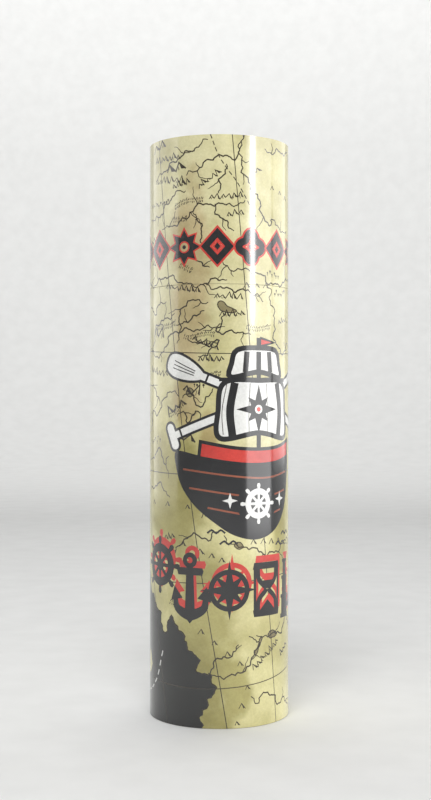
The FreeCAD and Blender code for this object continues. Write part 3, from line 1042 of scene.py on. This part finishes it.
def wind_rose(art):
    """A large rose behind the tube, with thin lines that run out from it."""
    centre = flat(ROSE_PLACE)

    def pen(ink, turn=0.0):
        return Pen(art, ink, centre, ROSE_RADIUS, turn)

    for index in range(16):
        reach = 1.4 if index % 2 else 1.9
        pen("line", 22.5 * index).stroke([(0.0, 0.0), (reach, 0.0)], 0.2 / ROSE_RADIUS)
    pen("paper").dot((0, 0), 0.74, 60)
    for share, width in ((0.74, 0.5), (0.66, 0.25), (0.36, 0.3)):
        pen("black").ring((0, 0), share, width / ROSE_RADIUS, 64)
    for index in range(32):
        pen("black", 11.25 * index).stroke([(0.66, 0.0), (0.74, 0.0)], 0.3 / ROSE_RADIUS)
    for reach, first_turn, dark in ((0.62, 45.0, "red"), (1.0, 0.0, "black")):
        for index in range(4):
            turn = first_turn + 90.0 * index
            for side, ink in ((1, dark), (-1, "white")):
                half = [(0.0, 0.0), (reach, 0.0), (0.15, side * 0.15)]
                pen(ink, turn).fill(half)
                pen("black", turn).stroke(half, 0.2 / ROSE_RADIUS, closed=True)
    pen("black").dot((0, 0), 0.1, 22)
    pen("red").dot((0, 0), 0.95 / ROSE_RADIUS, 20)


def draw_artwork():
    art = Artwork()
    for draw_layer in (sea_and_lakes, graticule, rivers, mark_rows, routes, wind_rose,
                       band, frieze, ship):
        draw_layer(art)
    return art


# ---------------------------------------------------------------- printed wraps

SECTOR_COUNT = 120          # flats that the round wrap is made of
SECTOR_WIDTH = 360 / SECTOR_COUNT * MM_PER_DEGREE
WRAP_LEFT = (SEAM_DEGREES - 360) * MM_PER_DEGREE
WRAP_RIGHT = SEAM_DEGREES * MM_PER_DEGREE
LAP_DEGREES = 9.0           # how far the wrap's outer end lies over its first end
LAP_RAMP_DEGREES = 2.0
LAP_RISE = 0.14 * MM
NEAR = 1e-3                 # places closer than this are on one line


def cut_sector(areas, left, right, low, high):
    """Cut the areas that reach one sector into triangles, with the ink of each."""
    points = [(left, low), (right, low), (right, high), (left, high)]
    outlines = [[0, 1, 2, 3]]
    for _, corners in areas:
        outlines.append(list(range(len(points), len(points) + len(corners))))
        points += corners.tolist()
    vectors = [Vector(point) for point in points]
    cut = delaunay_2d_cdt(vectors, [], outlines, 0, 1e-6, False)
    places = np.array([tuple(vertex) for vertex in cut[0]])
    corners = places[np.array(cut[2])]
    centres = corners.mean(1)
    inside = (centres[:, 0] > left) & (centres[:, 0] < right)
    inside &= (centres[:, 1] > low) & (centres[:, 1] < high)
    return corners[inside], topmost_inks(centres[inside], areas)


def partition(art, low, high):
    """Cut the artwork, a sector of the tube at a time, into triangles of one ink."""
    bounds = np.array([(*area.min(0), *area.max(0)) for _, area in art.areas])
    level = (bounds[:, 3] >= low) & (bounds[:, 1] <= high)
    corner_sets = []
    inks = []
    for sector in range(SECTOR_COUNT):
        start = WRAP_LEFT + sector * SECTOR_WIDTH
        end = start + SECTOR_WIDTH
        near = level & (bounds[:, 2] >= start) & (bounds[:, 0] <= end)
        held = [art.areas[index] for index in np.flatnonzero(near)]
        corners, sector_inks = cut_sector(held, start, end, low, high)
        corner_sets.append(corners)
        inks += sector_inks
    corners = np.round(np.vstack(corner_sets).reshape(-1, 2), 5)
    places, numbers = np.unique(corners, axis=0, return_inverse=True)
    triangles = numbers.reshape(-1, 3)
    first, second, third = triangles.T
    whole = (first != second) & (second != third) & (third != first)
    return places, triangles[whole].tolist(), [ink for ink, kept in zip(inks, whole) if kept]


def topmost_inks(centres, areas):
    """The ink of the last area that holds each centre, by its winding number."""
    names = list(INKS)
    order = np.argsort(centres[:, 0])
    sorted_x = centres[order, 0]
    inks = np.full(len(centres), names.index("paper"))
    for ink, corners in areas:
        first = np.searchsorted(sorted_x, corners[:, 0].min())
        last = np.searchsorted(sorted_x, corners[:, 0].max())
        near = order[first:last]
        heights = centres[near, 1]
        near = near[(heights > corners[:, 1].min()) & (heights < corners[:, 1].max())]
        x, y = centres[near].T[:, :, None]
        start_x, start_y = corners.T
        end_x, end_y = np.roll(corners, -1, 0).T
        side = (end_x - start_x) * (y - start_y) - (x - start_x) * (end_y - start_y)
        rises = (start_y <= y) & (end_y > y) & (side > 0)
        falls = (start_y > y) & (end_y <= y) & (side < 0)
        turns = rises.sum(1) - falls.sum(1)
        inks[near[turns != 0]] = names.index(ink)
    return [names[index] for index in inks]


def rolled(places, rise, radius):
    """Flat places rolled round the tube, in metres."""
    x, y = places.T
    angle = x / wrap_radius
    reach = radius + rise
    return np.stack([reach * np.sin(angle), -reach * np.cos(angle), y * MM], 1)


def lap_rise(x):
    """How far the paper stands off at x, where its end laps over."""
    degrees_left = (WRAP_RIGHT - x) / MM_PER_DEGREE
    share = np.clip((LAP_DEGREES - degrees_left) / LAP_RAMP_DEGREES, 0, 1)
    return LAP_RISE * share**2 * (3 - 2 * share)


def add_wrap(name, node, body, art, materials):
    """A printed paper wrap in place of a CAD node, on the same body."""
    node_low, node_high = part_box(node)
    low = node_low.z / MM
    high = node_high.z / MM
    places, faces, inks = partition(art, low, high)
    x, y = places.T
    vertices = rolled(places, lap_rise(x), wrap_radius * MM).tolist()
    inner_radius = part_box(body_tube(node))[1].x

    # The rims, the inside and the step at the seam close the shell.
    printed_count = len(faces)
    rims = []
    for height in (low, high):
        rim = np.flatnonzero(np.abs(y - height) < NEAR)
        rim = rim[np.argsort(x[rim])].tolist()
        inside = list(range(len(vertices), len(vertices) + len(rim) - 1))
        inside.append(inside[0])
        vertices += rolled(places[rim[:-1]], 0.0, inner_radius).tolist()
        rims.append((rim, inside))
        for step in range(len(rim) - 1):
            quad = [rim[step], rim[step + 1], inside[step + 1], inside[step]]
            faces.append(quad if height == high else quad[::-1])
    for sector in range(SECTOR_COUNT):
        start = WRAP_LEFT + sector * SECTOR_WIDTH - NEAR
        end = start + SECTOR_WIDTH + 2 * NEAR
        lower, upper = [
            [inner for index, inner in zip(rim, inside) if start < x[index] < end]
            for rim, inside in rims
        ]
        faces.append(upper + lower[::-1])
    upwards = np.argsort(y)
    seam_start = upwards[x[upwards] - WRAP_LEFT < NEAR]
    seam_end = upwards[WRAP_RIGHT - x[upwards] < NEAR]
    faces.append([*seam_start.tolist(), *seam_end[::-1].tolist()])

    slots = list(materials)
    inks += ["edge"] * (len(faces) - printed_count)
    wrap = add_object(name, vertices, faces, materials.values())
    wrap.data.polygons.foreach_set("material_index", [slots.index(ink) for ink in inks])
    set_round_normals(wrap.data, printed_count)
    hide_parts(node)
    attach(wrap, body)


def body_tube(wrap_node):
    """The board tube that a wrap node is glued to."""
    return {"main_wrap": "main_tube", "sleeve_wrap": "sleeve_tube"}[wrap_node]


def set_round_normals(mesh, printed_count):
    """Smooth shading round the tube on printed faces, and flat shading on the rest."""
    corner_vertices = np.zeros(len(mesh.loops), int)
    mesh.loops.foreach_get("vertex_index", corner_vertices)
    places = np.zeros(len(mesh.vertices) * 3)
    mesh.vertices.foreach_get("co", places)
    normals = places.reshape(-1, 3)[corner_vertices]
    normals[:, 2] = 0
    normals /= np.linalg.norm(normals, axis=1)[:, None]
    for polygon in mesh.polygons[printed_count:]:
        start = polygon.loop_start
        normals[start:start + polygon.loop_total] = polygon.normal
    mesh.normals_split_custom_set(normals.tolist())


def add_wraps():
    materials = {}
    for name, colours in INKS.items():
        materials[name] = printed_ink(name, *colours)
    materials["edge"] = paper_edge()
    art = draw_artwork()
    add_wrap("printed_main_wrap", "main_wrap", "main_body", art, materials)
    add_wrap("printed_sleeve_wrap", "sleeve_wrap", "rotating_end", art, materials)


# ---------------------------------------------------------------- other materials

def paper_edge():
    """The wrap's own paper, seen at its cut edges and on its back."""
    grain = (900.0, 3.0, 0.6, (1, 1, 4))
    return grained("paper_edge", grain, linear(196, 190, 172), linear(226, 222, 206), 0.85,
                   0.00003)


def paperboard():
    """Wound grey-brown board, with blotches and fibres that run along the tube."""
    paint = Paint("wound_board", 0.88)
    fibre = paint.noise(700.0, 5.0, 0.65, (1, 1, 0.35))
    blotch = paint.noise(110.0, 3.0)
    base = paint.ramp(blotch, linear(160, 144, 118), linear(186, 170, 142), 0.35, 0.65)
    flecks = paint.ramp(fibre, (0.72, 0.7, 0.66), (1, 1, 1), 0.3, 0.62)
    return paint.finished(paint.multiplied(0.75, base, flecks), fibre, 0.00008)


def moulded_black():
    paint = Paint("moulded_black", 0.42)
    texture = paint.noise(2600.0)
    cloud = paint.noise(90.0, 3.0)
    limits = {"Value": texture, "To Min": 0.34, "To Max": 0.5}
    paint.put(paint.node("MapRange", limits)["Result"], paint.sockets["Roughness"])
    colour = paint.ramp(cloud, linear(24, 24, 26), linear(33, 33, 35))
    return paint.finished(colour, texture, 0.00002)


def foam():
    paint = Paint("open_cell_foam", 0.95)
    cells = {"Vector": paint.place(), "Scale": 1400.0}
    depth = paint.node("TexVoronoi", cells)["Distance"]
    # The cells are darker towards their pits: painted shade in the pores.
    colour = paint.ramp(depth, linear(120, 118, 112), linear(206, 204, 196), 0.05, 0.5)
    return paint.finished(colour, depth, 0.0002)


def clear_plastic(name, colour, roughness=0.04, scratch_depth=0.000004):
    paint = Paint(name, roughness, Transmission_Weight=1.0, IOR=1.46)
    smears = paint.noise(160.0, 4.0, 0.6)
    darker = tuple(0.93 * channel for channel in colour)
    grain = paint.noise(1800.0, 2.0, 0.6)
    return paint.finished(paint.ramp(smears, darker, colour), grain, scratch_depth)


GEM_COLOURS = {
    "red": (0.86, 0.02, 0.03),
    "blue": (0.03, 0.1, 0.8),
    "green": (0.02, 0.55, 0.1),
    "yellow": (0.95, 0.6, 0.02),
    "clear": (0.93, 0.96, 0.98),
}


def dress_cad_nodes():
    materials = {
        "paperboard": paperboard(),
        "printed_wrap": paper_edge(),
        "black_plastic": moulded_black(),
        "black_card": grained("black_card", (1100.0, 4.0, 0.7), linear(20, 20, 21),
                              linear(40, 40, 41), 0.9, 0.00004),
        "mirror": grained("mirror_film", (70.0, 4.0, 0.6), (0.78, 0.8, 0.81),
                          (0.86, 0.88, 0.89), 0.03, Metallic=1.0),
        "clear_plastic": clear_plastic("clear_disc", (0.97, 0.98, 0.98), 0.02, 0.000002),
        "frosted_plastic": clear_plastic("frosted_disc", (0.96, 0.97, 0.97), 0.42, 0.00003),
        "foam": foam(),
    }
    for name, colour in GEM_COLOURS.items():
        materials[name + "_gem"] = clear_plastic(name + "_stone", colour)
    for subpart in frame["record"]["subparts"]:
        node = frame["nodes"][subpart["node"]]
        material = materials[subpart["material_slot"]]
        if not node.data.materials:
            node.data.materials.append(material)
        for slot in node.material_slots:
            slot.material = material


# ---------------------------------------------------------------- foam pads

def add_foam_pads():
    """The three pads behind the mirrors, as soft blocks with worn edges."""
    node = frame["nodes"]["foam_pads"]
    pads = bpy.data.objects.new("soft_foam_pads", node.data.copy())
    pads.matrix_world = node.matrix_world.copy()
    bpy.context.scene.collection.objects.link(pads)
    remesh = pads.modifiers.new("remesh", "REMESH")
    remesh.mode = "VOXEL"
    remesh.voxel_size = 0.5 * MM
    rounding = pads.modifiers.new("rounding", "SMOOTH")
    rounding.factor = 0.6
    rounding.iterations = 8
    bpy.context.view_layer.update()
    shaped = pads.evaluated_get(bpy.context.evaluated_depsgraph_get())
    mesh = bpy.data.meshes.new_from_object(shaped)
    pads.modifiers.clear()
    pads.data = mesh
    mesh.materials.clear()
    mesh.materials.append(foam())
    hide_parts("foam_pads")
    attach(pads, "main_body")


add_camera()
add_lights(add_floor())
add_wraps()
add_foam_pads()
dress_cad_nodes()
